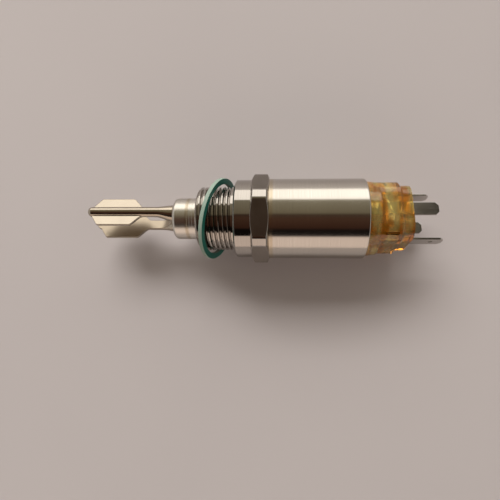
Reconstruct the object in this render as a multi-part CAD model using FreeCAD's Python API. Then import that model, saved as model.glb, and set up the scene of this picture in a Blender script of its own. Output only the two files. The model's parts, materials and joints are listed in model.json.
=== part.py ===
import FreeCAD, Part
import os
from math import cos, radians, sin, sqrt, tan

# Vibrating fork level switch: a steel fork on a thin membrane, a screw-in body
# with a parallel pipe thread and a hexagon, a round electronics housing and a
# four-blade plug base. Millimetres. The axis of the instrument is X, with the
# fork towards -X and the plug towards +X. The origin is the centre of the
# sealing face behind the thread. It lies with one flat of the hexagon down.

# Screw-in body
thread_diameter = 26.441
thread_length = 15.5
thread_end_chamfer = 1.2
collar_diameter = 32.4
collar_length = 6.8
collar_chamfer = 0.6
hex_sides = 6
hex_across_flats = 34.0
hex_corner_diameter = 36.9
hex_length = 7.1
hex_chamfer_angle = 30.0
hex_chamfer_start = 0.15
spigot_length = 4.0
spigot_wall = 2.01
electronics_bore_floor = 2.0
neck_shoulder = 1.15
neck_length = 5.5

# Electronics housing
housing_diameter = 33.1
housing_wall = 1.5
housing_length = 38.4
housing_end_round = 0.45

# Sensor barrel and membrane
barrel_diameter = 17.3
barrel_wall = 1.5
barrel_reach = 10.5
barrel_edge_round = 1.6
fork_head_length = 6.2
membrane_thickness = 1.0

# Fork tines, one on each side of the axis
half_turn_angle = 180
tine_roll_angle = 32.0
tine_length = 36.5
tine_axis_inset = 3.65
tine_flat_setback = 0.55
rib_radius = 2.15
rib_tip_round = 2.0
paddle_thickness = 1.0
paddle_width = 12.8
paddle_tip_setback = 1.8
paddle_tip_chamfer = 3.2
paddle_edge_length = 14.05
paddle_root_chamfer = 3.9
paddle_front_round = 0.8
paddle_back_round = 1.6
paddle_blend_radius = 3.0
flat_root_setback = 8.5
flat_cutter_radius = 7.0
stem_cover = 0.13
flare_length = 7.5
flare_sections = 6
foot_inset = 1.35
foot_throat = 0.7
foot_gap = 0.05

# Fork drive inside the barrel
stack_clearance = 1.85
pressure_piece_length = 2.0
pressure_nose_radius = 2.5
pressure_land_length = 0.8
insulator_thickness = 0.8
piezo_thickness = 1.0
piezo_count = 4
electrode_thickness = 0.2
electrode_tab_width = 2.4
electrode_tab_length = 1.6
clamp_screw_length = 5.0
clamp_screw_socket = 5.0
clamp_screw_socket_depth = 2.5
lead_radius = 0.45
lead_inset = 1.15
lead_pad_length = 3.0

# Sealing ring, lying loose and cocked on the thread
ring_bore_clearance = 1.53
ring_width = 2.45
ring_thickness = 1.6
ring_centre_setback = 7.72
ring_lean_up_angle = 13.4
ring_lean_side_angle = 10.8

# Plug base
plug_roll_angle = 22.3
insert_spigot_length = 8.4
insert_wall = 2.1
insert_rim_overlap = 0.5
insert_rim_taper = 0.5
insert_rim_length = 4.7
lower_block_inset = 2.01
lower_block_corner = 7.6
lower_block_length = 7.8
block_step_length = 1.2
block_step_depth = 1.4
upper_block_corner = 6.3
upper_block_length = 3.6
insert_end_wall = 5.6
key_slot_length = 5.0
key_slot_width = 1.3
key_slot_depth = 1.2
key_slot_setback = 1.5
screw_post_diameter = 8.4
screw_bush_diameter = 5.0
screw_bush_length = 9.0
screw_thread_diameter = 3.0
seal_section = 1.5
seal_setback = 4.5

# Contact blades, each named by the side of the square that it stands on
contact_angles = (0, 90, 180)
earth_angle = -90
blade_inset = 1.9
blade_width = 5.3
blade_thickness = 0.8
blade_tip_chamfer = 1.3
contact_blade_reach = 10.1
earth_blade_reach = 13.6
earth_hole_diameter = 1.6
earth_hole_setback = 4.6

# Electronics
board_thickness = 1.6
board_edge_margin = 0.7
board_front = 4.0
board_end_clearance = 2.9
carrier_wall = 1.5
carrier_clearance = 0.3
carrier_rail_height = 1.2
carrier_rail_depth = 1.6
terminal_board_thickness = 1.6
terminal_board_clearance = 0.2
led_radius = 1.5
led_length = 4.0
led_spacing = 4.5
pin_side = 0.64
pin_spacing = 2.54
pin_count = 5
pin_overlap = 4.0
clip_width = 4.0
clip_thickness = 0.4
clip_length = 6.0
clip_foot_overlap = 2.0
component_gap = 2.5
component_inset = 5.2
controller_side = 7.0
controller_height = 1.4
driver_length = 5.0
driver_width = 4.0
driver_height = 1.6
transformer_length = 8.0
transformer_width = 7.0
transformer_height = 5.5
output_switch_length = 6.5
output_switch_width = 4.6
output_switch_height = 2.3
capacitor_radius = 2.5
capacitor_height = 7.0
magnet_sensor_length = 3.0
magnet_sensor_width = 1.4
magnet_sensor_height = 1.2

# Gap between pieces that are pressed, welded, glued or soldered together
fit_gap = 0.04

ORIGIN = FreeCAD.Vector(0, 0, 0)
X_AXIS = FreeCAD.Vector(1, 0, 0)
Y_AXIS = FreeCAD.Vector(0, 1, 0)
Z_AXIS = FreeCAD.Vector(0, 0, 1)
SAME_PLACE = 1e-4

# Stations along the axis and radii that several pieces share
thread_front = -thread_length
hex_front = collar_length
hex_back = hex_front + hex_length
housing_back = hex_back + housing_length
housing_bore_radius = housing_diameter / 2 - housing_wall
barrel_radius = barrel_diameter / 2
barrel_bore_radius = barrel_radius - barrel_wall
neck_bore_radius = barrel_radius - neck_shoulder
spigot_radius = housing_bore_radius - fit_gap
electronics_bore_radius = spigot_radius - spigot_wall
membrane_face = thread_front - barrel_reach
membrane_back = membrane_face + membrane_thickness
fork_head_back = membrane_face + fork_head_length
tine_axis_offset = barrel_radius - tine_axis_inset
tine_inner_face = tine_axis_offset - tine_flat_setback
tine_tip = membrane_face - tine_length
tine_root = membrane_face - foot_gap
flare_front = tine_root - flare_length
foot_radius = (barrel_radius - foot_inset - foot_throat / 2) / 2
foot_offset = foot_radius + foot_throat / 2
paddle_front = tine_tip + paddle_tip_setback
paddle_edge_front = paddle_front + paddle_tip_chamfer
paddle_edge_back = paddle_edge_front + paddle_edge_length
paddle_back = paddle_edge_back + paddle_root_chamfer
flat_end = tine_root - flat_root_setback
neck_front = electronics_bore_floor - neck_length
insert_front = housing_back - insert_spigot_length
insert_spigot_radius = spigot_radius
insert_bore_radius = insert_spigot_radius - insert_wall
lower_block_side = 2 * (insert_spigot_radius - lower_block_inset)
upper_block_side = lower_block_side - 2 * block_step_depth
blade_circle_radius = upper_block_side / 2 - blade_inset
lower_block_front = housing_back + insert_rim_length
block_step_front = lower_block_front + lower_block_length
upper_block_front = block_step_front + block_step_length
insert_end = upper_block_front + upper_block_length
insert_cavity_end = insert_end - insert_end_wall
terminal_board_back = insert_front + terminal_board_thickness
terminal_board_radius = insert_bore_radius - terminal_board_clearance
stack_radius = barrel_bore_radius - stack_clearance
lead_side = barrel_bore_radius - lead_inset
lead_height = board_thickness / 2 + lead_radius
carrier_outer_radius = electronics_bore_radius - carrier_clearance
board_width = 2 * (carrier_outer_radius - board_edge_margin)
board_back = insert_front - board_end_clearance
rail_edge = board_width / 2 - carrier_rail_depth
pin_front = board_back - pin_overlap
component_column = rail_edge - component_inset
first_row = board_front + lead_pad_length + component_gap
third_row = pin_front - component_gap - 2 * capacitor_radius
second_row = (first_row + controller_side + third_row - transformer_length) / 2


def rolled(shape, angle):
    """Turn a shape about the instrument's axis, from +Z towards +Y."""
    turned_shape = shape.copy()
    turned_shape.rotate(ORIGIN, X_AXIS, -angle)
    return turned_shape


def turned(outline):
    """A solid of revolution about the axis from (station, radius) corners."""
    corners = [FreeCAD.Vector(station, 0, radius) for station, radius in outline]
    face = Part.Face(Part.makePolygon(corners + corners[:1]))
    return face.revolve(ORIGIN, X_AXIS, 360)


def rod(front, back, radius, y=0.0, z=0.0):
    """A round bar parallel to the axis."""
    return Part.makeCylinder(radius, back - front, FreeCAD.Vector(front, y, z), X_AXIS)


def tube(front, back, outer_radius, inner_radius):
    """A plain round tube on the axis."""
    return rod(front, back, outer_radius).cut(rod(front, back, inner_radius))


def block(front, back, width, y, height, z):
    """A box along the axis, centred on y and z."""
    corner = FreeCAD.Vector(front, y - width / 2, z - height / 2)
    return Part.makeBox(back - front, width, height, corner)


def circles_at(shape, station, radius):
    """The round edges of a shape at one station with one radius."""
    found = []
    for edge in shape.Edges:
        if not isinstance(edge.Curve, Part.Circle):
            continue
        centre_off = abs(edge.Curve.Center.x - station)
        radius_off = abs(edge.Curve.Radius - radius)
        if centre_off < SAME_PLACE and radius_off < SAME_PLACE:
            found.append(edge)
    return found


def rounded_square(station, side, corner):
    """A closed square outline with round corners, across the axis."""
    half = side / 2
    flat = half - corner
    middle = flat + corner * sqrt(0.5)

    def at(y, z):
        return FreeCAD.Vector(station, y, z)

    edges = [
        Part.makeLine(at(half, -flat), at(half, flat)),
        Part.Arc(at(half, flat), at(middle, middle), at(flat, half)).toShape(),
        Part.makeLine(at(flat, half), at(-flat, half)),
        Part.Arc(at(-flat, half), at(-middle, middle), at(-half, flat)).toShape(),
        Part.makeLine(at(-half, flat), at(-half, -flat)),
        Part.Arc(at(-half, -flat), at(-middle, -middle), at(-flat, -half)).toShape(),
        Part.makeLine(at(-flat, -half), at(flat, -half)),
        Part.Arc(at(flat, -half), at(middle, -middle), at(half, -flat)).toShape(),
    ]
    return Part.Wire(edges)


def square_block(front, back, side, corner):
    """A square bar with round corners along the axis."""
    return Part.Face(rounded_square(front, side, corner)).extrude(X_AXIS * (back - front))


def hexagon():
    """The turned hexagon: flats cut on a bar whose end corners are chamfered."""
    corner_radius = hex_corner_diameter / 2
    start_radius = hex_across_flats / 2 - hex_chamfer_start
    chamfer = (corner_radius - start_radius) * tan(radians(hex_chamfer_angle))
    bar = turned(
        [
            (hex_front, 0),
            (hex_front, start_radius),
            (hex_front + chamfer, corner_radius),
            (hex_back - chamfer, corner_radius),
            (hex_back, start_radius),
            (hex_back, 0),
        ]
    )
    point_radius = hex_across_flats / 2 / cos(radians(180 / hex_sides))
    points = []
    for side in range(hex_sides):
        angle = radians((side + 0.5) * 360 / hex_sides)
        points.append(FreeCAD.Vector(hex_front, point_radius * sin(angle), point_radius * cos(angle)))
    flats = Part.Face(Part.makePolygon(points + points[:1])).extrude(X_AXIS * hex_length)
    return bar.common(flats)


def process_adapter():
    """Screw-in body: thread, sealing collar, hexagon and the spigot for the housing."""
    thread_radius = thread_diameter / 2
    collar_radius = collar_diameter / 2
    spigot_back = hex_back + spigot_length
    outside = turned(
        [
            (thread_front, 0),
            (thread_front, thread_radius - thread_end_chamfer),
            (thread_front + thread_end_chamfer, thread_radius),
            (0, thread_radius),
            (0, collar_radius - collar_chamfer),
            (collar_chamfer, collar_radius),
            (collar_length, collar_radius),
            (collar_length, spigot_radius),
            (spigot_back, spigot_radius),
            (spigot_back, 0),
        ]
    )
    body = outside.fuse(hexagon()).removeSplitter()
    body = body.cut(rod(thread_front, neck_front, barrel_radius + fit_gap))
    body = body.cut(rod(neck_front, electronics_bore_floor, neck_bore_radius))
    return body.cut(rod(electronics_bore_floor, spigot_back, electronics_bore_radius))


def housing_tube():
    """Drawn steel tube over the adapter's spigot, with its plug end rounded over."""
    outer_radius = housing_diameter / 2
    shell = tube(hex_back, housing_back, outer_radius, housing_bore_radius)
    return shell.makeFillet(housing_end_round, circles_at(shell, housing_back, outer_radius))


def fork_head():
    """Cup whose thin floor is the membrane that the tines stand on."""
    cup = rod(membrane_face, fork_head_back, barrel_radius)
    cup = cup.makeFillet(barrel_edge_round, circles_at(cup, membrane_face, barrel_radius))
    return cup.cut(rod(membrane_back, fork_head_back, barrel_bore_radius))


def barrel_sleeve():
    """Tube welded to the fork head and let into the adapter."""
    return tube(fork_head_back, neck_front, barrel_radius, barrel_bore_radius)


def upright_edges(plate, station, half):
    """The edges that stand on a plate's face at one station, on both sides."""
    found = []
    for edge in plate.Edges:
        ends = [vertex.Point for vertex in edge.Vertexes]
        off_station = max(abs(end.x - station) for end in ends)
        off_side = max(abs(abs(end.y) - half) for end in ends)
        if off_station < SAME_PLACE and off_side < SAME_PLACE:
            found.append(edge)
    return found


def paddle():
    """Flat paddle of a tine: cut corners at both ends, and a blend into the stem."""
    half = paddle_width / 2
    stem_half = rib_radius - stem_cover
    outline = [
        (paddle_front, stem_half),
        (paddle_edge_front, half),
        (paddle_edge_back, half),
        (paddle_back, stem_half),
        (paddle_back + paddle_blend_radius, stem_half),
    ]
    upper_edge = [FreeCAD.Vector(x, y, tine_inner_face) for x, y in outline]
    lower_edge = [FreeCAD.Vector(v.x, -v.y, v.z) for v in reversed(upper_edge)]
    polygon = Part.makePolygon(upper_edge + lower_edge + upper_edge[:1])
    plate = Part.Face(polygon).extrude(Z_AXIS * paddle_thickness)
    plate = plate.makeFillet(paddle_blend_radius, upright_edges(plate, paddle_back, stem_half))
    plate = plate.makeFillet(paddle_front_round, upright_edges(plate, paddle_edge_front, half))
    return plate.makeFillet(paddle_back_round, upright_edges(plate, paddle_edge_back, half))


def tine_stem():
    """Round stem and rib of a tine, with a ball end."""
    tip_chord = rib_tip_round * (1 - sqrt(0.5))

    def at(station, radius):
        return FreeCAD.Vector(station, 0, tine_axis_offset + radius)

    tip_start = at(tine_tip, rib_radius - rib_tip_round)
    tip_middle = at(tine_tip + tip_chord, rib_radius - tip_chord)
    tip_end = at(tine_tip + rib_tip_round, rib_radius)
    edges = [
        Part.makeLine(at(flare_front, 0), at(tine_tip, 0)),
        Part.makeLine(at(tine_tip, 0), tip_start),
        Part.Arc(tip_start, tip_middle, tip_end).toShape(),
        Part.makeLine(tip_end, at(flare_front, rib_radius)),
        Part.makeLine(at(flare_front, rib_radius), at(flare_front, 0)),
    ]
    return Part.Face(Part.Wire(edges)).revolve(at(0, 0), X_AXIS, 360)


def tine_flare():
    """Foot of a tine: the stem widens and leans towards the other tine at the membrane."""
    sections = []
    for step in range(flare_sections):
        share = step / (flare_sections - 1)
        grown = share**2 * (3 - 2 * share)
        offset = tine_axis_offset + grown * (foot_offset - tine_axis_offset)
        radius = rib_radius + grown * (foot_radius - rib_radius)
        centre = FreeCAD.Vector(flare_front + share * flare_length, 0, offset)
        sections.append(Part.Wire(Part.makeCircle(radius, centre, X_AXIS)))
    return Part.makeLoft(sections, True)


def tine():
    """One tine standing on +Z, with its inner side milled flat from the tip to the foot."""
    solid = tine_stem().fuse([paddle(), tine_flare()])
    side = FreeCAD.Vector(flat_end, -paddle_width / 2, tine_inner_face - flat_cutter_radius)
    cutter = Part.makeCylinder(flat_cutter_radius, paddle_width, side, Y_AXIS)
    flat = block(tine_tip, flat_end, paddle_width, 0, 2 * tine_inner_face, 0)
    return solid.cut([flat, cutter]).removeSplitter()


def sealing_ring():
    """Flat gasket, hung crooked on the thread."""
    half = ring_thickness / 2
    inner_radius = thread_diameter / 2 + ring_bore_clearance
    ring = tube(-half, half, inner_radius + ring_width, inner_radius)
    ring.rotate(ORIGIN, Y_AXIS, -ring_lean_up_angle)
    ring.rotate(ORIGIN, Z_AXIS, -ring_lean_side_angle)
    ring.translate(X_AXIS * -ring_centre_setback)
    return ring


def blade_outline(front, back):
    """A flat tab outline along the axis with two cut corners at its tip."""
    half = blade_width / 2
    corner = back - blade_tip_chamfer
    points = [
        (front, -half),
        (corner, -half),
        (back, -half + blade_tip_chamfer),
        (back, half - blade_tip_chamfer),
        (corner, half),
        (front, half),
    ]
    return [FreeCAD.Vector(x, y, blade_circle_radius - blade_thickness / 2) for x, y in points]


def blade(reach, direction):
    """One contact blade standing on its side of the square plug base."""
    front = terminal_board_back + fit_gap
    points = blade_outline(front, insert_end + reach)
    tab = Part.Face(Part.makePolygon(points + points[:1])).extrude(Z_AXIS * blade_thickness)
    return rolled(tab, plug_roll_angle + direction)


def earth_blade():
    """The longer protective earth blade with its cross hole."""
    station = insert_end + earth_blade_reach - earth_hole_setback
    base = FreeCAD.Vector(station, 0, blade_circle_radius - blade_thickness)
    hole = Part.makeCylinder(earth_hole_diameter / 2, 2 * blade_thickness, base, Z_AXIS)
    cross_hole = rolled(hole, plug_roll_angle + earth_angle)
    return blade(earth_blade_reach, earth_angle).cut(cross_hole)


def blade_slot(direction):
    """The slot that holds one blade in the end of the plug base."""
    slot = block(
        insert_cavity_end,
        insert_end,
        blade_width + 2 * fit_gap,
        0,
        blade_thickness + 2 * fit_gap,
        blade_circle_radius,
    )
    return rolled(slot, plug_roll_angle + direction)


def key_slot():
    """Blind slot in the round corner of the block beside the earth blade."""
    front = lower_block_front + key_slot_setback
    corner = (lower_block_side / 2 - lower_block_corner) * sqrt(2) + lower_block_corner
    slot = block(front, front + key_slot_length, key_slot_width, 0, 2 * key_slot_depth, corner)
    return rolled(slot, plug_roll_angle + earth_angle / 2)


def connector_insert():
    """Clear amber plug base: round foot, square block in two steps, hollow inside."""
    seal_station = insert_front + seal_setback
    groove_floor = insert_spigot_radius - seal_section
    rim_front = housing_back + fit_gap
    rim_radius = insert_spigot_radius + insert_rim_overlap
    foot = turned(
        [
            (insert_front, 0),
            (insert_front, insert_spigot_radius),
            (seal_station - seal_section / 2, insert_spigot_radius),
            (seal_station - seal_section / 2, groove_floor),
            (seal_station + seal_section / 2, groove_floor),
            (seal_station + seal_section / 2, insert_spigot_radius),
            (rim_front, insert_spigot_radius),
            (rim_front, rim_radius),
            (lower_block_front, rim_radius - insert_rim_taper),
            (lower_block_front, 0),
        ]
    )
    lower = square_block(rim_front, block_step_front, lower_block_side, lower_block_corner)
    step = Part.makeLoft(
        [
            rounded_square(block_step_front, lower_block_side, lower_block_corner),
            rounded_square(upper_block_front, upper_block_side, upper_block_corner),
        ],
        True,
        True,
    )
    upper = square_block(upper_block_front, insert_end, upper_block_side, upper_block_corner)
    cavity_side = lower_block_side - 2 * insert_wall
    cavity = square_block(
        lower_block_front, insert_cavity_end, cavity_side, lower_block_corner - insert_wall
    )
    foot_cavity = rod(insert_front, lower_block_front, insert_bore_radius)
    post = rod(insert_end - screw_bush_length, insert_cavity_end, screw_post_diameter / 2)
    bush_hole = rod(insert_end - screw_bush_length, insert_end, screw_bush_diameter / 2 + fit_gap)
    block_shape = foot.fuse([lower, step, upper]).removeSplitter()
    body = rolled(block_shape.cut([cavity, foot_cavity]).fuse(post), plug_roll_angle)
    directions = contact_angles + (earth_angle,)
    slots = [blade_slot(direction) for direction in directions]
    return body.cut([bush_hole, key_slot()] + slots)


def screw_bush():
    """Brass thread bush for the plug's centre screw."""
    front = insert_end - screw_bush_length
    return tube(front, insert_end, screw_bush_diameter / 2, screw_thread_diameter / 2)


def insert_seal():
    """Round-section seal in the groove of the plug base's foot."""
    section = seal_section / 2 - fit_gap
    ring_radius = insert_spigot_radius - seal_section / 2
    return Part.makeTorus(
        ring_radius, section, FreeCAD.Vector(insert_front + seal_setback, 0, 0), X_AXIS
    )


def drive_stack():
    """Stations of each layer of the clamped piezo stack, from the membrane back."""
    layers = {"pressure": [], "insulator": [], "electrode": [], "piezo": []}
    station = membrane_back + fit_gap

    def add(kind, thickness):
        nonlocal station
        layers[kind].append((station, station + thickness))
        station += thickness

    add("pressure", pressure_piece_length)
    add("insulator", insulator_thickness)
    for _ in range(piezo_count):
        add("electrode", electrode_thickness)
        add("piezo", piezo_thickness)
    add("electrode", electrode_thickness)
    add("insulator", insulator_thickness)
    return layers, station


layers, stack_back = drive_stack()


def pressure_piece():
    """Steel button that hands the stack's push to the middle of the membrane."""
    (front, back) = layers["pressure"][0]
    return turned(
        [
            (front, 0),
            (front, pressure_nose_radius),
            (back - pressure_land_length, stack_radius),
            (back, stack_radius),
            (back, 0),
        ]
    )


def electrode(index):
    """Thin contact disc with a solder tab beside one of the two leads."""
    front, back = layers["electrode"][index]
    side = 1 if index % 2 == 0 else -1
    reach = lead_side - lead_radius - fit_gap
    centre = side * (reach - electrode_tab_length / 2)
    tab = block(front, back, electrode_tab_length, centre, electrode_tab_width, 0)
    return rod(front, back, stack_radius).fuse(tab).removeSplitter()


def lead_positions():
    """The two drive leads lie on the board's upper face, either side of its middle."""
    return [(-lead_side, lead_height), (lead_side, lead_height)]


def with_lead_holes(shape, front, back):
    """A shape bored for the two drive leads."""
    holes = [rod(front, back, lead_radius + fit_gap, y, z) for y, z in lead_positions()]
    return shape.cut(holes)


def clamp_screw():
    """Threaded plug with a square socket that squeezes the stack onto the membrane."""
    back = stack_back + clamp_screw_length
    plug = rod(stack_back, back, barrel_bore_radius - fit_gap)
    socket_front = back - clamp_screw_socket_depth
    socket = block(socket_front, back, clamp_screw_socket, 0, clamp_screw_socket, 0)
    return with_lead_holes(plug.cut(socket), stack_back, back)


def drive_leads():
    """Two leads from the stack's contact discs to the front of the board."""
    front = layers["electrode"][0][0]
    back = board_front + lead_pad_length
    return [rod(front, back, lead_radius, y, z) for y, z in lead_positions()]


def feedthrough_seal():
    """Cast plug that closes the neck round the leads."""
    plug = rod(neck_front, electronics_bore_floor, neck_bore_radius - fit_gap)
    return with_lead_holes(plug, neck_front, electronics_bore_floor)


def board_carrier():
    """Half-round plastic cradle with a groove along each edge of the board."""
    outer_radius = carrier_outer_radius
    shell = tube(board_front, board_back, outer_radius, outer_radius - carrier_wall)
    rail_height = board_thickness + 2 * (carrier_rail_height + fit_gap)
    rail_middle = (outer_radius + rail_edge) / 2
    for side in (-1, 1):
        rail = block(
            board_front, board_back, outer_radius - rail_edge, side * rail_middle, rail_height, 0
        )
        shell = shell.fuse(rail)
    shell = shell.common(rod(board_front, board_back, outer_radius))
    top = board_thickness / 2 + carrier_rail_height
    above_middle = top + outer_radius / 2
    above = block(board_front, board_back, 2 * outer_radius, 0, outer_radius, above_middle)
    groove = block(
        board_front, board_back, board_width + 2 * fit_gap, 0, board_thickness + 2 * fit_gap, 0
    )
    return shell.cut([above, groove]).removeSplitter()


def circuit_board():
    """Main board, edge to edge in the cradle."""
    return block(board_front, board_back, board_width, 0, board_thickness, 0)


def on_board(front, length, y, width, height):
    """A component standing on the board's upper face."""
    middle = (board_thickness + height) / 2
    return block(front, front + length, width, y, height, middle)


def board_components():
    """Controller, driver, transformer, output switch and two storage capacitors."""
    left, right = -component_column, component_column
    pieces = [
        on_board(first_row, controller_side, left, controller_side, controller_height),
        on_board(first_row, driver_length, right, driver_width, driver_height),
        on_board(second_row, transformer_length, right, transformer_width, transformer_height),
        on_board(second_row, output_switch_length, left, output_switch_width, output_switch_height),
    ]
    for y in (left, right):
        foot = FreeCAD.Vector(third_row + capacitor_radius, y, board_thickness / 2)
        pieces.append(Part.makeCylinder(capacitor_radius, capacitor_height, foot, Z_AXIS))
    return pieces


def magnet_sensor():
    """Small field sensor at the board's edge that a test magnet outside acts on."""
    y = rail_edge - fit_gap - magnet_sensor_width / 2
    return on_board(third_row, magnet_sensor_length, y, magnet_sensor_width, magnet_sensor_height)


def terminal_board():
    """Round board across the plug base's foot that carries the blades."""
    return rod(insert_front, terminal_board_back, terminal_board_radius)


def status_leds():
    """Lamps on the terminal board that shine through the amber plug base."""
    lamps = []
    for place in (-1, 0, 1):
        front = terminal_board_back
        lamp = rod(front, front + led_length - led_radius, led_radius)
        dome = Part.makeSphere(led_radius, FreeCAD.Vector(front + led_length - led_radius, 0, 0))
        lamp = lamp.fuse(dome).removeSplitter()
        lamp.translate(Y_AXIS * (place * led_spacing))
        lamps.append(rolled(lamp, plug_roll_angle))
    return lamps


def header_pins():
    """Pin row that joins the main board to the terminal board."""
    height = (board_thickness + pin_side) / 2
    middle = (pin_count - 1) / 2
    pins = []
    for place in range(pin_count):
        y = (place - middle) * pin_spacing
        pins.append(block(pin_front, insert_front, pin_side, y, pin_side, height))
    return pins


def earth_clip():
    """Spring strip from the terminal board's edge to the bore of the housing."""
    corner = housing_bore_radius - fit_gap
    height = sqrt(corner**2 - (clip_width / 2) ** 2) - clip_thickness / 2
    inner = terminal_board_radius - clip_foot_overlap
    strip = block(
        insert_front - clip_length,
        insert_front,
        clip_width,
        0,
        clip_thickness,
        height,
    )
    foot = block(
        insert_front - clip_thickness,
        insert_front,
        clip_width,
        0,
        height - inner,
        (height + inner) / 2,
    )
    return rolled(strip.fuse(foot).removeSplitter(), plug_roll_angle + earth_angle)


def write(name, *solids):
    """One file for each named piece or group of like pieces."""
    shape = solids[0] if len(solids) == 1 else Part.makeCompound(list(solids))
    shape.exportStep(os.path.join("parts", name + ".step"))


os.makedirs("parts", exist_ok=True)

write("process_adapter", process_adapter())
write("housing_tube", housing_tube())
write("fork_head", fork_head())
write("barrel_sleeve", barrel_sleeve())
write("upper_tine", rolled(tine(), tine_roll_angle))
write("lower_tine", rolled(tine(), tine_roll_angle + half_turn_angle))
write("sealing_ring", sealing_ring())

write("pressure_piece", pressure_piece())
write("stack_insulators", *[rod(a, b, stack_radius) for a, b in layers["insulator"]])
write("piezo_discs", *[rod(a, b, stack_radius) for a, b in layers["piezo"]])
write("electrode_discs", *[electrode(i) for i in range(piezo_count + 1)])
write("clamp_screw", clamp_screw())
write("drive_leads", *drive_leads())
write("feedthrough_seal", feedthrough_seal())

write("board_carrier", board_carrier())
write("circuit_board", circuit_board())
write("board_components", *board_components())
write("magnet_sensor", magnet_sensor())
write("header_pins", *header_pins())
write("terminal_board", terminal_board())
write("status_leds", *status_leds())
write("earth_clip", earth_clip())

write("connector_insert", connector_insert())
write("insert_seal", insert_seal())
write("screw_bush", screw_bush())
for number, direction in enumerate(contact_angles, start=1):
    write("contact_blade_" + str(number), blade(contact_blade_reach, direction))
write("earth_blade", earth_blade())
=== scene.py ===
import json
from math import cos, pi, radians, sin, tan

import bmesh
import bpy
from mathutils import Matrix, Vector

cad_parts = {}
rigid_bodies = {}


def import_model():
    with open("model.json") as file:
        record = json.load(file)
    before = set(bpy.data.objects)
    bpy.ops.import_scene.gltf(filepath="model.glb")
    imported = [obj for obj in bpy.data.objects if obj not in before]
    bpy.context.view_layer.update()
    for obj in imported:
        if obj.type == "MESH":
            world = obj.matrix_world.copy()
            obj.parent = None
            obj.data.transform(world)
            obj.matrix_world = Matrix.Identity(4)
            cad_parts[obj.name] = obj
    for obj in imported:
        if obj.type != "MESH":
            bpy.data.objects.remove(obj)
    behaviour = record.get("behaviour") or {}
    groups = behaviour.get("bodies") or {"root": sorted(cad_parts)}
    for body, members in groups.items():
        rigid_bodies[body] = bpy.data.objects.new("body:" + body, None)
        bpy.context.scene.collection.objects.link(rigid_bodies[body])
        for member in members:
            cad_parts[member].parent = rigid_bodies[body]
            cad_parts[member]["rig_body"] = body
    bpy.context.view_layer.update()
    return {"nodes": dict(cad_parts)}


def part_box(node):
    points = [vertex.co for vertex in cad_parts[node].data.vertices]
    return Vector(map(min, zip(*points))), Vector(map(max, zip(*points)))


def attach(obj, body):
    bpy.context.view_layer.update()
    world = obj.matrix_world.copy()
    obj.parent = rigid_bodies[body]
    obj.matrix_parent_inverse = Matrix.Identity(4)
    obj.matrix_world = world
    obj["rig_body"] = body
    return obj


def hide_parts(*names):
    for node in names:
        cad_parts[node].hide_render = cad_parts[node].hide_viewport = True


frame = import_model()

# Screw-in body: stainless steel, turned from hexagon bar in one piece with its
# sealing collar; the flats of the bar stay as drawn and duller, and their steel is
# also painted darker than the turned steel as painted shade, for the shaded table
# and dark room that the flats reflect. The pipe thread is cut with a pointed tool
# that leaves a flat on each crest and a small round at each root.
thread_radius = 0.0132205
thread_pitch = 0.001814
thread_turns = 8
thread_steps = 96
flank_angle = radians(27.5)
groove_depth = 0.00096
groove_root = 0.00026
groove_root_round = 0.0001
tool_lift = 0.0002
groove_end = -0.00095
body_edge_round = 0.00014
flat_edge_wear = 0.00015
along_axis = (60, 900, 900)
merge_distance = 1e-6
flat_angle = radians(0.4)
rounding_angle = radians(32)
plane_tolerance = 2e-5
level_tolerance = 0.01


def only(obj):
    """Make one object the only selected one, and the active one."""
    bpy.ops.object.select_all(action="DESELECT")
    obj.select_set(True)
    bpy.context.view_layer.objects.active = obj


def apply_modifiers(obj):
    """Make the result of an object's modifiers its own mesh."""
    only(obj)
    for modifier in list(obj.modifiers):
        bpy.ops.object.modifier_apply(modifier=modifier.name)


def smooth(obj, angle):
    """Shade round faces smooth, while each flat face keeps its own even shade."""
    only(obj)
    bpy.ops.mesh.customdata_custom_splitnormals_clear()
    bpy.ops.object.shade_smooth_by_angle(angle=angle)
    weighted = obj.modifiers.new("even flats", "WEIGHTED_NORMAL")
    weighted.keep_sharp = True
    weighted.weight = 100
    apply_modifiers(obj)


def finish_faces(obj, finish, other_finish, wanted):
    """Give a piece one finish, and another to the faces for which wanted is true."""
    obj.data.materials.clear()
    obj.data.materials.append(finish)
    obj.data.materials.append(other_finish)
    only(obj)
    bpy.ops.object.mode_set(mode="EDIT")
    bpy.ops.mesh.select_mode(type="FACE")
    shape = bmesh.from_edit_mesh(obj.data)
    for face in shape.faces:
        face.select_set(bool(wanted(face.calc_center_median(), face.normal)))
    shape.select_flush_mode()
    bmesh.update_edit_mesh(obj.data)
    obj.active_material_index = 1
    bpy.ops.object.material_slot_assign()
    bpy.ops.object.mode_set(mode="OBJECT")


def finished_copy(node, name, edge_round, smooth_angle=rounding_angle):
    """A copy of a solid with its facets merged and its sharp edges broken."""
    piece = bpy.data.objects.new(name, frame["nodes"][node].data.copy())
    bpy.context.scene.collection.objects.link(piece)
    only(piece)
    bpy.ops.object.mode_set(mode="EDIT")
    bpy.ops.mesh.select_all(action="SELECT")
    bpy.ops.mesh.remove_doubles(threshold=merge_distance)
    bpy.ops.mesh.dissolve_limited(angle_limit=flat_angle)
    bpy.ops.object.mode_set(mode="OBJECT")
    bevel = piece.modifiers.new("edges", "BEVEL")
    bevel.limit_method = "ANGLE"
    bevel.angle_limit = smooth_angle
    bevel.width = edge_round
    bevel.segments = 2
    apply_modifiers(piece)
    smooth(piece, smooth_angle)
    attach(piece, frame["nodes"][node]["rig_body"])
    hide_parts(node)
    return piece


adapter = finished_copy("process_adapter", "screw_in_body", body_edge_round)

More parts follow.
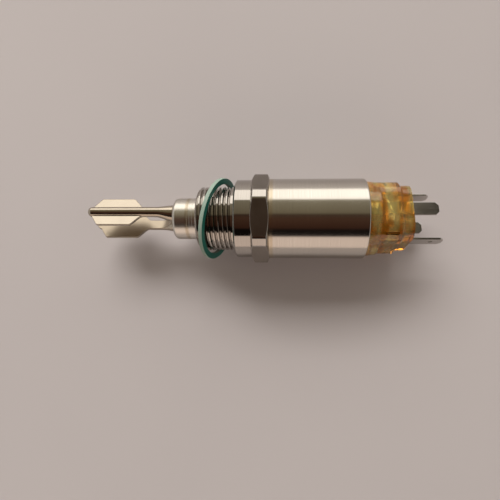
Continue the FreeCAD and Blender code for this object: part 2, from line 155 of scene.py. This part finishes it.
tool_height = groove_depth + tool_lift
tool_mouth = groove_root + 2 * tool_height * tan(flank_angle)
bpy.ops.object.select_all(action="DESELECT")
bpy.ops.mesh.primitive_plane_add(size=1, rotation=(pi / 2, 0, 0))
thread_tool = bpy.context.object
bpy.ops.object.transform_apply(location=True, rotation=True, scale=True)
bpy.ops.object.mode_set(mode="EDIT")
bpy.ops.transform.resize(value=(tool_mouth, 1, tool_height))
first_groove = groove_end - thread_turns * thread_pitch
bpy.ops.transform.translate(value=(first_groove, 0, tool_height / 2 - thread_radius - tool_lift))
profile = bmesh.from_edit_mesh(thread_tool.data)
root_height = groove_depth - thread_radius
for corner in profile.verts:
    corner.select_set(abs(corner.co.z - root_height) < tool_lift)
profile.select_flush_mode()
bmesh.update_edit_mesh(thread_tool.data)
bpy.ops.transform.resize(
    value=(groove_root / tool_mouth, 1, 1), center_override=(first_groove, 0, root_height)
)
bpy.ops.mesh.bevel(offset=groove_root_round, segments=2, affect="VERTICES")
bpy.ops.mesh.select_all(action="SELECT")
bpy.ops.mesh.delete(type="ONLY_FACE")
bpy.ops.object.mode_set(mode="OBJECT")
screw = thread_tool.modifiers.new("helix", "SCREW")
screw.axis = "X"
screw.screw_offset = thread_pitch
screw.iterations = thread_turns
screw.steps = thread_steps
screw.render_steps = thread_steps
apply_modifiers(thread_tool)
bpy.ops.object.mode_set(mode="EDIT")
bpy.ops.mesh.select_all(action="SELECT")
bpy.ops.mesh.fill_holes(sides=0)
bpy.ops.mesh.normals_make_consistent(inside=False)
bpy.ops.object.mode_set(mode="OBJECT")
cut = adapter.modifiers.new("thread", "BOOLEAN")
cut.operation = "DIFFERENCE"
cut.solver = "EXACT"
cut.object = thread_tool
apply_modifiers(adapter)
smooth(adapter, rounding_angle)
bpy.data.objects.remove(thread_tool)


class Wire:
    """One output socket in a material. Arithmetic on it adds Math nodes."""

    def __init__(self, socket):
        self.socket = socket

    def node(self, kind, settings, inputs, output=0):
        """Add a node beside this one, set it up, feed it and return its output."""
        made = self.socket.id_data.nodes.new("ShaderNode" + kind)
        for name, value in settings.items():
            if name == "stops":
                while len(made.color_ramp.elements) < len(value):
                    made.color_ramp.elements.new(1.0)
                for element, (position, colour) in zip(made.color_ramp.elements, value):
                    element.position = position
                    element.color = colour
            else:
                setattr(made, name, value)
        for name, value in inputs.items():
            feed(made.inputs[name], value)
        return Wire(made.outputs[output])

    def math(self, operation, first, second):
        """Add a Math node that works on two values."""
        return self.node("Math", {"operation": operation}, {0: first, 1: second})

    def __add__(self, other):
        return self.math("ADD", self, other)

    def __radd__(self, other):
        return self.math("ADD", other, self)

    def __sub__(self, other):
        return self.math("SUBTRACT", self, other)

    def __rsub__(self, other):
        return self.math("SUBTRACT", other, self)

    def __mul__(self, other):
        return self.math("MULTIPLY", self, other)

    def __rmul__(self, other):
        return self.math("MULTIPLY", other, self)

    def __truediv__(self, other):
        return self.math("DIVIDE", self, other)

    def __pow__(self, other):
        return self.math("POWER", self, other)

    def __abs__(self):
        return self.math("ABSOLUTE", self, 0.0)


def feed(socket, value):
    """Link a wire to a socket, or set the socket's own value."""
    if isinstance(value, Wire):
        socket.id_data.links.new(value.socket, socket)
    else:
        socket.default_value = value


def new_finish(name):
    """A new material with its shader, and the place of each point on the object."""
    material = bpy.data.materials.new(name)
    material.use_nodes = True
    nodes = material.node_tree.nodes
    shader = nodes["Principled BSDF"]
    return material, shader.inputs, Wire(nodes.new("ShaderNodeTexCoord").outputs["Object"])


def noise(place, scale, detail=2.0):
    """Cloudy values from 0 to 1, with lumps of about one over the scale in metres."""
    return place.node("TexNoise", {}, {"Vector": place, "Scale": scale, "Detail": detail})


def between(mask, low_colour, high_colour):
    """A colour that goes from one to the other with the mask."""
    return mask.node("Mix", {"data_type": "RGBA"}, {0: mask, 6: low_colour, 7: high_colour}, 2)


def bump(height, depth):
    """A normal that follows a height from 0 to 1 over a depth in metres."""
    return height.node("Bump", {}, {"Distance": depth, "Height": height})


def ramp(mask, low, high):
    """0 below the first value and 1 above the second, smooth between them."""
    return mask.node(
        "MapRange", {"interpolation_type": "SMOOTHSTEP"}, {0: mask, 1: low, 2: high, 3: 0.0, 4: 1.0}
    )


def turning_rings(path, marks_per_metre):
    """Uneven fine rings, as values from 0 to 1 along a path over the surface."""
    settings = {"noise_dimensions": "1D"}
    return path.node("TexNoise", settings, {"W": path, "Scale": marks_per_metre, "Detail": 3.0})


def turned_steel(name, dark, light, roughness, marks_per_metre, mark_depth):
    """Stainless steel with the fine rings that a lathe tool leaves round the axis."""
    material, shader, place = new_finish(name)
    x = place.node("SeparateXYZ", {}, {0: place}, "X")
    y = place.node("SeparateXYZ", {}, {0: place}, "Y")
    z = place.node("SeparateXYZ", {}, {0: place}, "Z")
    path = x + (y * y + z * z) ** 0.5
    rings = turning_rings(path, marks_per_metre)
    clouds = noise(place, 90.0)
    coarse = turning_rings(path, marks_per_metre / 4)
    feed(shader["Base Color"], between(clouds * 0.4 + coarse * 0.6, dark, light))
    feed(shader["Metallic"], 1.0)
    feed(shader["Roughness"], roughness * (0.75 + rings * 0.3 + clouds * 0.2))
    feed(shader["Normal"], bump(rings, mark_depth))
    return material


def lined_steel(name, dark, light, roughness, lines, edge_wear):
    """Stainless steel with fine straight lines, and with its edges worn a little round."""
    material, shader, place = new_finish(name)
    polish = noise(place.node("Mapping", {}, {0: place, "Scale": lines}), 12.0, 4.0)
    clouds = noise(place, 140.0, 3.0)
    feed(shader["Base Color"], between(clouds, dark, light))
    feed(shader["Metallic"], 1.0)
    feed(shader["Roughness"], roughness * (0.8 + polish * 0.5 + clouds * 0.3))
    soft_edge = place.node("Bevel", {"samples": 8}, {"Radius": edge_wear})
    scratches = {"Distance": 3e-6, "Height": polish, "Normal": soft_edge}
    feed(shader["Normal"], polish.node("Bump", {}, scratches))
    return material


adapter_steel = turned_steel(
    "turned_body_steel",
    dark=(0.31, 0.285, 0.255, 1),
    light=(0.47, 0.44, 0.405, 1),
    roughness=0.085,
    marks_per_metre=9000,
    mark_depth=1.5e-6,
)
# The flats are partly a duller drawn finish and partly painted shade: their steel is painted darker
# to stand in for the shaded table and dark room that they reflect.
flats_with_painted_shade = lined_steel(
    "drawn_flats_with_painted_shade",
    dark=(0.18, 0.155, 0.13, 1),
    light=(0.27, 0.24, 0.21, 1),
    roughness=0.28,
    lines=along_axis,
    edge_wear=flat_edge_wear,
)
flat_distance = -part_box("process_adapter")[0].z
finish_faces(
    adapter,
    adapter_steel,
    flats_with_painted_shade,
    lambda middle, normal: abs(middle.dot(normal) - flat_distance) < plane_tolerance
    and abs(normal.x) < level_tolerance,
)

# Sensor barrel: a stainless tube let into the body, with the fork head welded on
# by laser. The barrel is ground to a satin finish, and the weld shows as a thin
# ring with a slight golden tint.
weld_station = -0.0198
weld_width = (0.00012, 0.0003)
tint_width = (0.0003, 0.0011)
ring_stations = (-0.0187, -0.0176, -0.0164)
ring_width = (0.00004, 0.00014)


def paint(node, material):
    """Give a solid that stays as it is its finish."""
    slots = frame["nodes"][node].data.materials
    slots.clear()
    slots.append(material)


barrel_steel, shader, place = new_finish("satin_barrel_steel")
x = place.node("SeparateXYZ", {}, {0: place}, "X")
weld = 1 - ramp(abs(x - weld_station), *weld_width)
tint = 1 - ramp(abs(x - weld_station), *tint_width)
for station in ring_stations:
    weld = weld + (1 - ramp(abs(x - station), *ring_width)) * 0.7
grind = turning_rings(x, 12000)
clouds = noise(place, 120.0)
plain_steel = between(clouds, (0.54, 0.51, 0.46, 1), (0.64, 0.61, 0.55, 1))
feed(shader["Base Color"], between(tint * 0.6, plain_steel, (0.42, 0.34, 0.22, 1)))
feed(shader["Metallic"], 1.0)
feed(shader["Roughness"], 0.25 + grind * 0.08 + weld * 0.1)
feed(shader["Normal"], bump(grind * 0.03 - weld, 0.00004))
paint("fork_head", barrel_steel)
paint("barrel_sleeve", barrel_steel)

# Fork tines: each is a flat paddle with a half-round rib and a stem, cast in
# stainless steel and joined to the membrane. The outside is polished, and the
# inner side, which faces the other tine, is milled flat and left satin.
tine_edge_round = 0.00018
tine_edge_wear = 0.0004
tine_roll = radians(32)
across_axis = (900, 60, 60)
facing_inward = 0.7
facing_end = 0.65

polished_tine = lined_steel(
    "polished_tine_steel",
    dark=(0.38, 0.33, 0.265, 1),
    light=(0.45, 0.395, 0.32, 1),
    roughness=0.13,
    lines=along_axis,
    edge_wear=tine_edge_wear,
)
milled_tine = lined_steel(
    "milled_tine_steel",
    dark=(0.36, 0.3, 0.225, 1),
    light=(0.43, 0.365, 0.285, 1),
    roughness=0.26,
    lines=across_axis,
    edge_wear=tine_edge_wear,
)
for node, name, side in (
    ("upper_tine", "fork_tine_upper", -1),
    ("lower_tine", "fork_tine_lower", 1),
):
    tine = finished_copy(node, name, tine_edge_round)
    inward = Vector((0, sin(tine_roll), cos(tine_roll))) * side
    finish_faces(
        tine,
        polished_tine,
        milled_tine,
        lambda middle, normal: normal.dot(inward) > facing_inward and abs(normal.x) < facing_end,
    )

# Gasket: a loose flat ring punched from green fibre sheet. The faces are coated
# and smooth, and the punched edges are bare and paler.
gasket_edge_round = 0.0002
gasket_rounding_angle = radians(40)
edge_on = 0.5
gasket_lean_up = radians(13.4)
gasket_lean_side = radians(10.8)

gasket = finished_copy("sealing_ring", "gasket", gasket_edge_round, gasket_rounding_angle)
lean = Matrix.Rotation(-gasket_lean_side, 3, "Z") @ Matrix.Rotation(-gasket_lean_up, 3, "Y")
gasket_axis = lean @ Vector((1, 0, 0))

gasket_face, shader, place = new_finish("green_gasket_face")
fibres = noise(place, 1400.0, 4.0)
clouds = noise(place, 160.0, 3.0)
feed(
    shader["Base Color"],
    between(fibres * 0.5 + clouds * 0.5, (0.004, 0.07, 0.055, 1), (0.018, 0.2, 0.15, 1)),
)
feed(shader["Roughness"], 0.3 + fibres * 0.2)
feed(shader["Specular IOR Level"], 0.3)
feed(shader["Normal"], bump(fibres, 0.00003))

gasket_rim, shader, place = new_finish("pale_gasket_edge")
fibres = noise(place, 1800.0, 4.0)
clouds = noise(place, 200.0, 3.0)
feed(
    shader["Base Color"],
    between(fibres * 0.4 + clouds * 0.6, (0.15, 0.24, 0.19, 1), (0.36, 0.43, 0.36, 1)),
)
feed(shader["Roughness"], 0.55 + fibres * 0.2)
feed(shader["Normal"], bump(fibres, 0.00005))

finish_faces(
    gasket,
    gasket_face,
    gasket_rim,
    lambda middle, normal: abs(normal.dot(gasket_axis)) < edge_on,
)

# Fork drive in the barrel: a steel button, two ceramic insulators and four piezo
# discs with thin brass contact discs between them, squeezed onto the membrane by
# a threaded plug.
drive_steel = turned_steel(
    "drive_steel",
    dark=(0.36, 0.35, 0.33, 1),
    light=(0.46, 0.45, 0.43, 1),
    roughness=0.3,
    marks_per_metre=5000,
    mark_depth=4e-6,
)
paint("pressure_piece", drive_steel)
paint("clamp_screw", drive_steel)


def speckled(name, dark, light, scale, roughness, grain_depth):
    """An even material with a fine grain in its colour, gloss and surface."""
    material, shader, place = new_finish(name)
    grain = noise(place, scale, 4.0)
    clouds = noise(place, scale / 12, 2.0)
    feed(shader["Base Color"], between(grain * 0.6 + clouds * 0.4, dark, light))
    feed(shader["Roughness"], roughness + grain * 0.15)
    feed(shader["Normal"], bump(grain, grain_depth))
    return material


paint(
    "stack_insulators",
    speckled("white_ceramic", (0.72, 0.7, 0.66, 1), (0.86, 0.84, 0.8, 1), 4000, 0.35, 4e-6),
)
paint(
    "piezo_discs",
    speckled("piezo_ceramic", (0.48, 0.42, 0.28, 1), (0.62, 0.55, 0.4, 1), 5000, 0.45, 5e-6),
)


def plated_metal(name, dark, light, roughness):
    """Rolled sheet metal with fine lines along the axis and a soft plated gloss."""
    material, shader, place = new_finish(name)
    lines = noise(place.node("Mapping", {}, {0: place, "Scale": (200, 4000, 4000)}), 1.0, 4.0)
    clouds = noise(place, 400.0, 3.0)
    feed(shader["Base Color"], between(clouds * 0.6 + lines * 0.4, dark, light))
    feed(shader["Metallic"], 1.0)
    feed(shader["Roughness"], roughness + lines * 0.12 + clouds * 0.06)
    feed(shader["Normal"], bump(lines, 3e-6))
    return material


bare_brass = plated_metal("bare_brass", (0.52, 0.36, 0.13, 1), (0.68, 0.5, 0.22, 1), 0.22)
paint("electrode_discs", bare_brass)

# Leads and their seal: two insulated wires run from the stack through a cast
# resin plug in the neck of the body to the front of the circuit board.
paint(
    "drive_leads",
    speckled("lead_insulation", (0.3, 0.02, 0.015, 1), (0.42, 0.04, 0.03, 1), 3000, 0.35, 6e-6),
)
paint(
    "feedthrough_seal",
    speckled("cast_resin", (0.03, 0.03, 0.035, 1), (0.06, 0.06, 0.065, 1), 1200, 0.4, 2e-5),
)

# Electronics: a green laminate board slides in the grooves of a moulded cradle
# and carries the parts that drive and read the fork, with a pin row at its end.
black_moulding = speckled(
    "black_moulding", (0.012, 0.012, 0.013, 1), (0.025, 0.025, 0.027, 1), 2500, 0.4, 1e-5
)
paint("board_carrier", black_moulding)
paint("board_components", black_moulding)
paint("magnet_sensor", black_moulding)

board_finish, shader, place = new_finish("green_laminate")
weave = place.node(
    "TexBrick",
    {"offset": 0.5},
    {
        "Vector": place,
        "Color1": (0.012, 0.1, 0.05, 1),
        "Color2": (0.018, 0.13, 0.065, 1),
        "Mortar": (0.006, 0.06, 0.03, 1),
        "Scale": 500.0,
        "Mortar Size": 0.04,
    },
)
grain = noise(place, 3000.0)
feed(shader["Base Color"], weave)
feed(shader["Roughness"], 0.25 + grain * 0.15)
feed(shader["Normal"], bump(grain, 4e-6))
paint("circuit_board", board_finish)
paint("terminal_board", board_finish)

tin_plate = plated_metal("tin_plate", (0.42, 0.4, 0.37, 1), (0.54, 0.51, 0.48, 1), 0.06)
paint("header_pins", tin_plate)
paint("earth_clip", tin_plate)

lamp_finish, shader, place = new_finish("clear_lamp")
haze = noise(place, 900.0)
feed(shader["Base Color"], between(haze, (0.75, 0.74, 0.7, 1), (0.9, 0.89, 0.86, 1)))
feed(shader["Roughness"], 0.08 + haze * 0.1)
feed(shader["Transmission Weight"], 0.5)
feed(shader["IOR"], 1.5)
paint("status_leds", lamp_finish)

# Housing: a drawn stainless tube pressed over the spigot and welded to the
# hexagon, with its plug end rolled over. The heat of the weld leaves a faint
# golden band next to the hexagon.
tube_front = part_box("housing_tube")[0].x
heat_band = 0.0019

housing_steel, shader, place = new_finish("drawn_housing_steel")
x = place.node("SeparateXYZ", {}, {0: place}, "X")
heat = 1 - ramp(x - tube_front, heat_band * 0.6, heat_band)
grind = turning_rings(x, 11000)
clouds = noise(place, 70.0, 3.0)
coarse = turning_rings(x, 2400)
plain_steel = between(clouds * 0.4 + coarse * 0.6, (0.4, 0.37, 0.33, 1), (0.58, 0.55, 0.5, 1))
feed(shader["Base Color"], between(heat * 0.5, plain_steel, (0.46, 0.36, 0.22, 1)))
feed(shader["Metallic"], 1.0)
feed(shader["Roughness"], 0.11 + grind * 0.05 + clouds * 0.04 + heat * 0.06)
feed(shader["Normal"], bump(grind, 1.2e-6))
paint("housing_tube", housing_steel)

# Plug base: moulded in clear amber plastic and snapped into the housing on a
# rubber seal. Its outside is polished, its inside keeps the ripples of the mould,
# and a brass thread bush sits in its middle post.
amber_edge_round = 0.0003
amber_wall = 0.0012
shoulder_station = 0.0581
solid_end_station = 0.0662
shoulder_fade = (0.0006, 0.0016)
solid_end_fade = 0.0008
streak_range = (0.38, 0.62)
flow_stretch = (300, 80, 80)
amber_depth_colour = (0.97, 0.74, 0.2, 1)
amber_depth_density = 75.0
amber_index = 1.54


def clear_amber(name, pale, deep, clearness, roughness, ripple):
    """Clear amber plastic with the streaks and ripples of the mould, deeper where it is thick."""
    material, shader, place = new_finish(name)
    x = place.node("SeparateXYZ", {}, {0: place}, "X")
    haze = noise(place, 260.0)
    flow = noise(place.node("Mapping", {}, {0: place, "Scale": flow_stretch}), 1.0, 1.0)
    shoulder = 1 - ramp(abs(x - shoulder_station), *shoulder_fade)
    solid_end = ramp(x, solid_end_station, solid_end_station + solid_end_fade)
    streaks = ramp(haze * 0.4 + flow * 0.6 - shoulder * 0.12 - solid_end * 0.05, *streak_range)
    feed(shader["Base Color"], between(streaks, deep, pale))
    feed(shader["Roughness"], roughness * (0.7 + haze * 0.6))
    feed(shader["Transmission Weight"], clearness)
    feed(shader["IOR"], amber_index)
    feed(shader["Normal"], bump(flow, ripple))
    depth = material.node_tree.nodes.new("ShaderNodeVolumeAbsorption")
    depth.inputs["Color"].default_value = amber_depth_colour
    depth.inputs["Density"].default_value = amber_depth_density
    volume = material.node_tree.nodes["Material Output"].inputs["Volume"]
    feed(volume, Wire(depth.outputs["Volume"]))
    return material


polished_amber = clear_amber(
    "polished_amber",
    pale=(0.95, 0.8, 0.27, 1),
    deep=(0.75, 0.32, 0.03, 1),
    clearness=0.85,
    roughness=0.05,
    ripple=0.0001,
)
rippled_amber = clear_amber(
    "rippled_amber",
    pale=(1.0, 0.95, 0.7, 1),
    deep=(1.0, 0.8, 0.4, 1),
    clearness=1.0,
    roughness=0.14,
    ripple=0.001,
)
plug_base = finished_copy("connector_insert", "amber_plug_base", amber_edge_round)
plug_front, plug_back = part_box("connector_insert")
finish_faces(
    plug_base,
    polished_amber,
    rippled_amber,
    lambda middle, normal: plug_front.x + amber_wall < middle.x < plug_back.x - amber_wall
    and normal.y * middle.y + normal.z * middle.z <= 0,
)

paint(
    "insert_seal",
    speckled("black_rubber", (0.01, 0.01, 0.01, 1), (0.025, 0.025, 0.025, 1), 2000, 0.55, 1e-5),
)
paint("screw_bush", bare_brass)

# Contact blades: punched from tinned brass strip, three contacts and a longer
# earth blade, each held in a slot of the plug base.
blade_edge_round = 0.00012
for node in ("contact_blade_1", "contact_blade_2", "contact_blade_3", "earth_blade"):
    blade = finished_copy(node, node + "_tab", blade_edge_round)
    blade.data.materials.clear()
    blade.data.materials.append(tin_plate)

# Table: a plain pale top that the switch lies on.
table_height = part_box("process_adapter")[0].z
table_size = 6.0

bpy.ops.object.select_all(action="DESELECT")
bpy.ops.mesh.primitive_plane_add(size=table_size, location=(0, 0, table_height))
table = bpy.context.object
table.name = "table"
table_finish, shader, place = new_finish("pale_table")
clouds = noise(place, 6.0, 3.0)
feed(shader["Base Color"], between(clouds, (0.5, 0.46, 0.455, 1), (0.55, 0.51, 0.5, 1)))
feed(shader["Roughness"], 0.4 + clouds * 0.1)
table.data.materials.append(table_finish)

# Light: a wide soft window on the far side. The room has a bright strip behind
# that window, a warm one on the near side, a dark brown ceiling with its darkest
# corner on the right, and plain pale walls at both ends. Each band of the room
# starts at a share of the half turn from the far horizon to the near one.
window_place = Vector((-1.0, 2.6, 2.2))
window_aim = Vector((-1.0, 0, 2.2))
window_width = 2.9
window_height = 1.5
window_brightness = 11.0
wall_colour = (0.62, 0.59, 0.56, 1)
corner_colour = (0.03, 0.025, 0.02, 1)
room_bands = [
    (0.0, (2.2, 2.1, 1.95, 1)),
    (0.19, (2.2, 2.1, 1.95, 1)),
    (0.205, (0.36, 0.32, 0.23, 1)),
    (0.42, (0.24, 0.2, 0.13, 1)),
    (0.445, (0.075, 0.045, 0.03, 1)),
    (0.49, (0.1, 0.05, 0.03, 1)),
    (0.65, (0.06, 0.025, 0.015, 1)),
    (0.68, (0.008, 0.006, 0.005, 1)),
    (0.785, (0.01, 0.008, 0.007, 1)),
    (0.8, (1.1, 0.9, 0.78, 1)),
]

light = bpy.data.lights.new("window", "AREA")
light.shape = "RECTANGLE"
light.size = window_width
light.size_y = window_height
light.energy = window_brightness * pi * window_width * window_height
light.color = (1.0, 0.97, 0.95)
lamp = bpy.data.objects.new("window", light)
lamp.location = window_place
lamp.rotation_euler = (window_aim - window_place).to_track_quat("-Z", "Y").to_euler()
lamp.visible_glossy = False
bpy.context.scene.collection.objects.link(lamp)

world = bpy.data.worlds.new("room")
world.use_nodes = True
sky = world.node_tree.nodes["Background"]
direction = Wire(world.node_tree.nodes.new("ShaderNodeTexCoord").outputs["Generated"])
far = direction.node("SeparateXYZ", {}, {0: direction}, "Y")
height = direction.node("SeparateXYZ", {}, {0: direction}, "Z")
angle = height.math("ARCTAN2", abs(height), far) / pi
room = angle.node("ValToRGB", {"stops": room_bands}, {0: angle})
sideways = direction.node("SeparateXYZ", {}, {0: direction}, "X")
corner = ramp(sideways, 0.24, 0.36) * ramp(height, 0.4, 0.55)
dimmed = between(corner * 0.9, room, corner_colour)
walls = ramp(abs(sideways), 0.55, 0.8)
feed(sky.inputs["Color"], between(walls, dimmed, wall_colour))
bpy.context.scene.world = world

# Camera: almost straight above the switch, with the fork to the left.
image_width = 500
focal_pixels = 372.175
optical_centre_x = 263
sensor_width = 36.0
camera_place = Vector((0.01991, -0.00457, 0.15749))
camera_right = Vector((0.99838, 0.00195, -0.05678))
camera_up = Vector((-0.00504, 0.99851, -0.05436))

lens = bpy.data.cameras.new("camera")
lens.sensor_width = sensor_width
lens.lens = sensor_width * focal_pixels / image_width
lens.shift_x = (image_width / 2 - optical_centre_x) / image_width
lens.clip_start = 0.005
camera = bpy.data.objects.new("camera", lens)
turn = Matrix((camera_right, camera_up, camera_right.cross(camera_up))).transposed()
camera.matrix_world = Matrix.Translation(camera_place) @ turn.to_4x4()
bpy.context.scene.collection.objects.link(camera)
bpy.context.scene.camera = camera
bpy.context.scene.view_settings.view_transform = "Standard"
